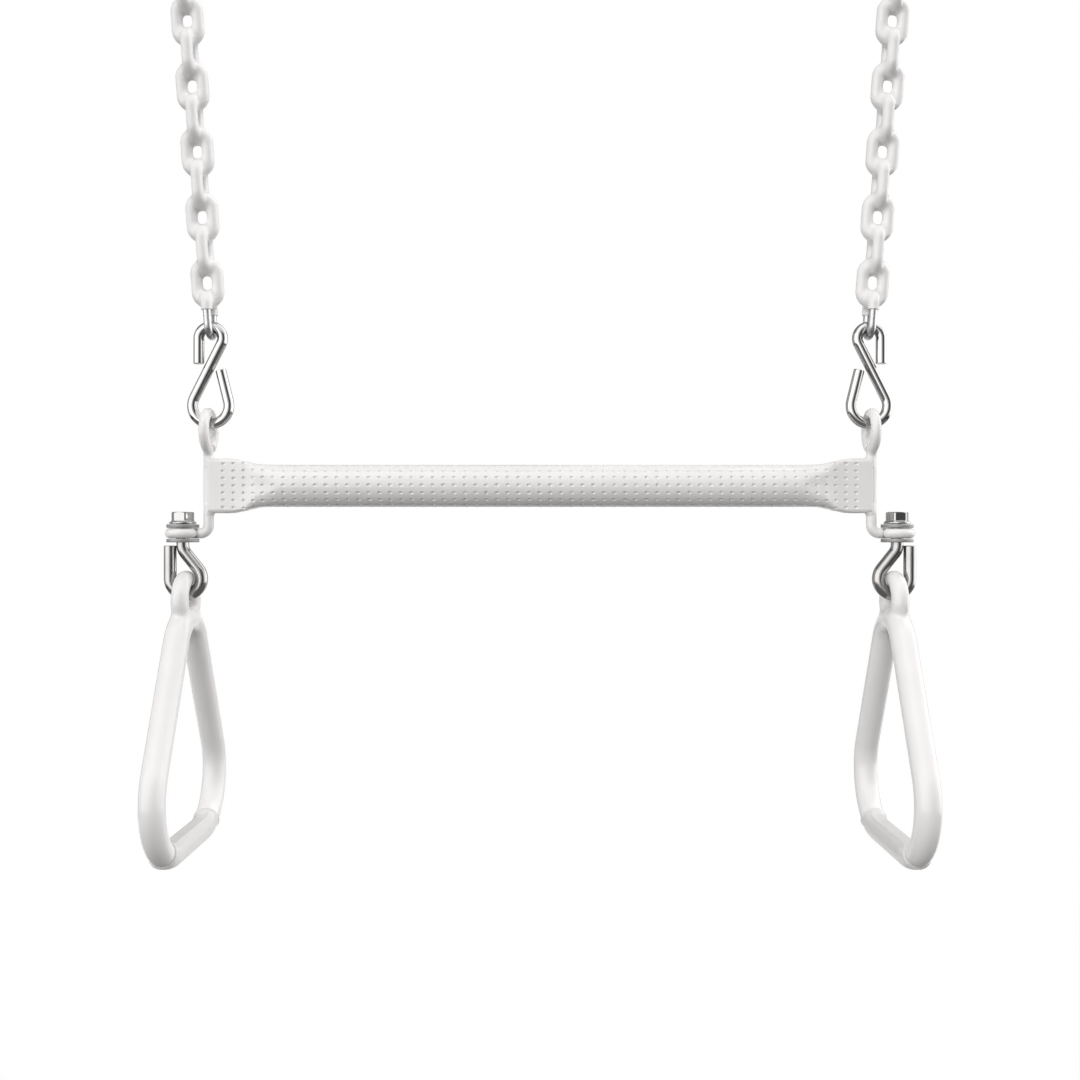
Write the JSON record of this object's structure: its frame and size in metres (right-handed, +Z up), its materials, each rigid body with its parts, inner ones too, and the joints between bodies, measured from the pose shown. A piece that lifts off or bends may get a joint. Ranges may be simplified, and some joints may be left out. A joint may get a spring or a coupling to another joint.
{
  "type": "trapeze bar",
  "caption": "Flat-ended steel tube hung by S-hooks from two coated chains, with a swivelling stirrup handle and grip under each end.",
  "frame": {"origin": "midway between the two top chain links, level with the inside of their upper bows, where the frame hangers carry them", "axes": "+X along the bar to its right end, +Y away from the viewer of the picture, +Z up"},
  "size_m": [0.4812, 0.1524, 0.5702],
  "materials": {
    "tube_paint": "satin off-white powder coat over steel",
    "bracket_paint": "satin off-white powder coat over steel",
    "coated_chain": "gloss white dipped plastic over steel",
    "link_coat": "gloss white dipped plastic",
    "galvanised_wire": "dull galvanised",
    "bright_steel": "bright plated",
    "nut_steel": "bright plated",
    "washer_zinc": "satin zinc plate",
    "handle_coat": "gloss white dipped plastic over steel",
    "grip_plastic": "smooth off-white moulded plastic"
  },
  "bodies": {
    "top_links": {"left_chain_link_11": "coated_chain", "right_chain_link_11": "coated_chain"},
    "left_link_10": {"left_chain_link_10": "coated_chain"},
    "left_link_09": {"left_chain_link_09": "coated_chain"},
    "left_link_08": {"left_chain_link_08": "coated_chain"},
    "left_link_07": {"left_chain_link_07": "coated_chain"},
    "left_link_06": {"left_chain_link_06": "coated_chain"},
    "left_link_05": {"left_chain_link_05": "coated_chain"},
    "left_link_04": {"left_chain_link_04": "coated_chain"},
    "left_link_03": {"left_chain_link_03": "coated_chain"},
    "left_link_02": {"left_chain_link_02": "coated_chain"},
    "left_link_01": {"left_chain_link_01": "galvanised_wire", "left_link_coating": "link_coat"},
    "left_hanger": {"left_s_hook": "bright_steel"},
    "right_link_10": {"right_chain_link_10": "coated_chain"},
    "right_link_09": {"right_chain_link_09": "coated_chain"},
    "right_link_08": {"right_chain_link_08": "coated_chain"},
    "right_link_07": {"right_chain_link_07": "coated_chain"},
    "right_link_06": {"right_chain_link_06": "coated_chain"},
    "right_link_05": {"right_chain_link_05": "coated_chain"},
    "right_link_04": {"right_chain_link_04": "coated_chain"},
    "right_link_03": {"right_chain_link_03": "coated_chain"},
    "right_link_02": {"right_chain_link_02": "coated_chain"},
    "right_link_01": {"right_chain_link_01": "galvanised_wire", "right_link_coating": "link_coat"},
    "right_hanger": {"right_s_hook": "bright_steel"},
    "bar": {"trapeze_tube": "tube_paint", "left_bracket": "bracket_paint", "right_bracket": "bracket_paint"},
    "left_swivel": {"left_swivel_hook": "bright_steel", "left_swivel_nut": "nut_steel", "left_upper_washer": "washer_zinc", "left_lower_washer": "washer_zinc"},
    "left_stirrup": {"left_handle": "handle_coat", "left_grip": "grip_plastic"},
    "right_swivel": {"right_swivel_hook": "bright_steel", "right_swivel_nut": "nut_steel", "right_upper_washer": "washer_zinc", "right_lower_washer": "washer_zinc"},
    "right_stirrup": {"right_handle": "handle_coat", "right_grip": "grip_plastic"}
  },
  "joints": [
    {"name": "left_link_10_swing", "type": "hinge", "parent": "top_links", "child": "left_link_10", "pos_m": [-0.22656, 0, -0.0176], "axis": [1, 0, 0], "range_deg": [-25, 25]},
    {"name": "left_link_09_swing", "type": "hinge", "parent": "left_link_10", "child": "left_link_09", "pos_m": [-0.22444, 0, -0.04552], "axis": [1, 0, 0], "range_deg": [-25, 25]},
    {"name": "left_link_08_swing", "type": "hinge", "parent": "left_link_09", "child": "left_link_08", "pos_m": [-0.22337, 0, -0.05948], "axis": [1, 0, 0], "range_deg": [-25, 25]},
    {"name": "left_link_07_swing", "type": "hinge", "parent": "left_link_08", "child": "left_link_07", "pos_m": [-0.22125, 0, -0.0874], "axis": [1, 0, 0], "range_deg": [-25, 25]},
    {"name": "left_link_06_swing", "type": "hinge", "parent": "left_link_07", "child": "left_link_06", "pos_m": [-0.22019, 0, -0.10136], "axis": [1, 0, 0], "range_deg": [-25, 25]},
    {"name": "left_link_05_swing", "type": "hinge", "parent": "left_link_06", "child": "left_link_05", "pos_m": [-0.21807, 0, -0.12928], "axis": [1, 0, 0], "range_deg": [-25, 25]},
    {"name": "left_link_04_swing", "type": "hinge", "parent": "left_link_05", "child": "left_link_04", "pos_m": [-0.217, 0, -0.14324], "axis": [1, 0, 0], "range_deg": [-25, 25]},
    {"name": "left_link_03_swing", "type": "hinge", "parent": "left_link_04", "child": "left_link_03", "pos_m": [-0.21488, 0, -0.17116], "axis": [1, 0, 0], "range_deg": [-25, 25]},
    {"name": "left_link_02_swing", "type": "hinge", "parent": "left_link_03", "child": "left_link_02", "pos_m": [-0.21382, 0, -0.18512], "axis": [1, 0, 0], "range_deg": [-25, 25]},
    {"name": "left_link_01_swing", "type": "hinge", "parent": "left_link_02", "child": "left_link_01", "pos_m": [-0.21169, 0, -0.21303], "axis": [1, 0, 0], "range_deg": [-25, 25]},
    {"name": "left_hanger_swing", "type": "hinge", "parent": "left_link_01", "child": "left_hanger", "pos_m": [-0.2107, 0, -0.2261], "axis": [1, 0, 0], "range_deg": [-30, 30]},
    {"name": "right_link_10_swing", "type": "hinge", "parent": "top_links", "child": "right_link_10", "pos_m": [0.22656, 0, -0.0176], "axis": [1, 0, 0], "range_deg": [-25, 25]},
    {"name": "right_link_09_swing", "type": "hinge", "parent": "right_link_10", "child": "right_link_09", "pos_m": [0.22444, 0, -0.04552], "axis": [1, 0, 0], "range_deg": [-25, 25]},
    {"name": "right_link_08_swing", "type": "hinge", "parent": "right_link_09", "child": "right_link_08", "pos_m": [0.22337, 0, -0.05948], "axis": [1, 0, 0], "range_deg": [-25, 25]},
    {"name": "right_link_07_swing", "type": "hinge", "parent": "right_link_08", "child": "right_link_07", "pos_m": [0.22125, 0, -0.0874], "axis": [1, 0, 0], "range_deg": [-25, 25]},
    {"name": "right_link_06_swing", "type": "hinge", "parent": "right_link_07", "child": "right_link_06", "pos_m": [0.22019, 0, -0.10136], "axis": [1, 0, 0], "range_deg": [-25, 25]},
    {"name": "right_link_05_swing", "type": "hinge", "parent": "right_link_06", "child": "right_link_05", "pos_m": [0.21807, 0, -0.12928], "axis": [1, 0, 0], "range_deg": [-25, 25]},
    {"name": "right_link_04_swing", "type": "hinge", "parent": "right_link_05", "child": "right_link_04", "pos_m": [0.217, 0, -0.14324], "axis": [1, 0, 0], "range_deg": [-25, 25]},
    {"name": "right_link_03_swing", "type": "hinge", "parent": "right_link_04", "child": "right_link_03", "pos_m": [0.21488, 0, -0.17116], "axis": [1, 0, 0], "range_deg": [-25, 25]},
    {"name": "right_link_02_swing", "type": "hinge", "parent": "right_link_03", "child": "right_link_02", "pos_m": [0.21382, 0, -0.18512], "axis": [1, 0, 0], "range_deg": [-25, 25]},
    {"name": "right_link_01_swing", "type": "hinge", "parent": "right_link_02", "child": "right_link_01", "pos_m": [0.21169, 0, -0.21303], "axis": [1, 0, 0], "range_deg": [-25, 25]},
    {"name": "right_hanger_swing", "type": "hinge", "parent": "right_link_01", "child": "right_hanger", "pos_m": [0.2107, 0, -0.2261], "axis": [1, 0, 0], "range_deg": [-30, 30]},
    {"name": "bar_swing", "type": "hinge", "parent": "left_hanger", "child": "bar", "pos_m": [-0.2107, 0, -0.28835], "axis": [-1, 0, 0], "range_deg": [-60, 60]},
    {"name": "left_swivel_turn", "type": "hinge", "parent": "bar", "child": "left_swivel", "pos_m": [-0.22854, 0, -0.3583], "axis": [0, 0, 1], "continuous": true},
    {"name": "left_stirrup_swing", "type": "hinge", "parent": "left_swivel", "child": "left_stirrup", "pos_m": [-0.22654, 0, -0.39743], "axis": [-1, 0, 0], "range_deg": [-50, 50]},
    {"name": "right_swivel_turn", "type": "hinge", "parent": "bar", "child": "right_swivel", "pos_m": [0.22854, 0, -0.3583], "axis": [0, 0, 1], "continuous": true},
    {"name": "right_stirrup_swing", "type": "hinge", "parent": "right_swivel", "child": "right_stirrup", "pos_m": [0.22654, 0, -0.39743], "axis": [1, 0, 0], "range_deg": [-50, 50]}
  ],
  "couplings": [
    {"joint": "right_link_10_swing", "follows": "left_link_10_swing", "ratio": 1},
    {"joint": "right_link_09_swing", "follows": "left_link_09_swing", "ratio": 1},
    {"joint": "right_link_08_swing", "follows": "left_link_08_swing", "ratio": 1},
    {"joint": "right_link_07_swing", "follows": "left_link_07_swing", "ratio": 1},
    {"joint": "right_link_06_swing", "follows": "left_link_06_swing", "ratio": 1},
    {"joint": "right_link_05_swing", "follows": "left_link_05_swing", "ratio": 1},
    {"joint": "right_link_04_swing", "follows": "left_link_04_swing", "ratio": 1},
    {"joint": "right_link_03_swing", "follows": "left_link_03_swing", "ratio": 1},
    {"joint": "right_link_02_swing", "follows": "left_link_02_swing", "ratio": 1},
    {"joint": "right_link_01_swing", "follows": "left_link_01_swing", "ratio": 1},
    {"joint": "right_hanger_swing", "follows": "left_hanger_swing", "ratio": 1}
  ]
}
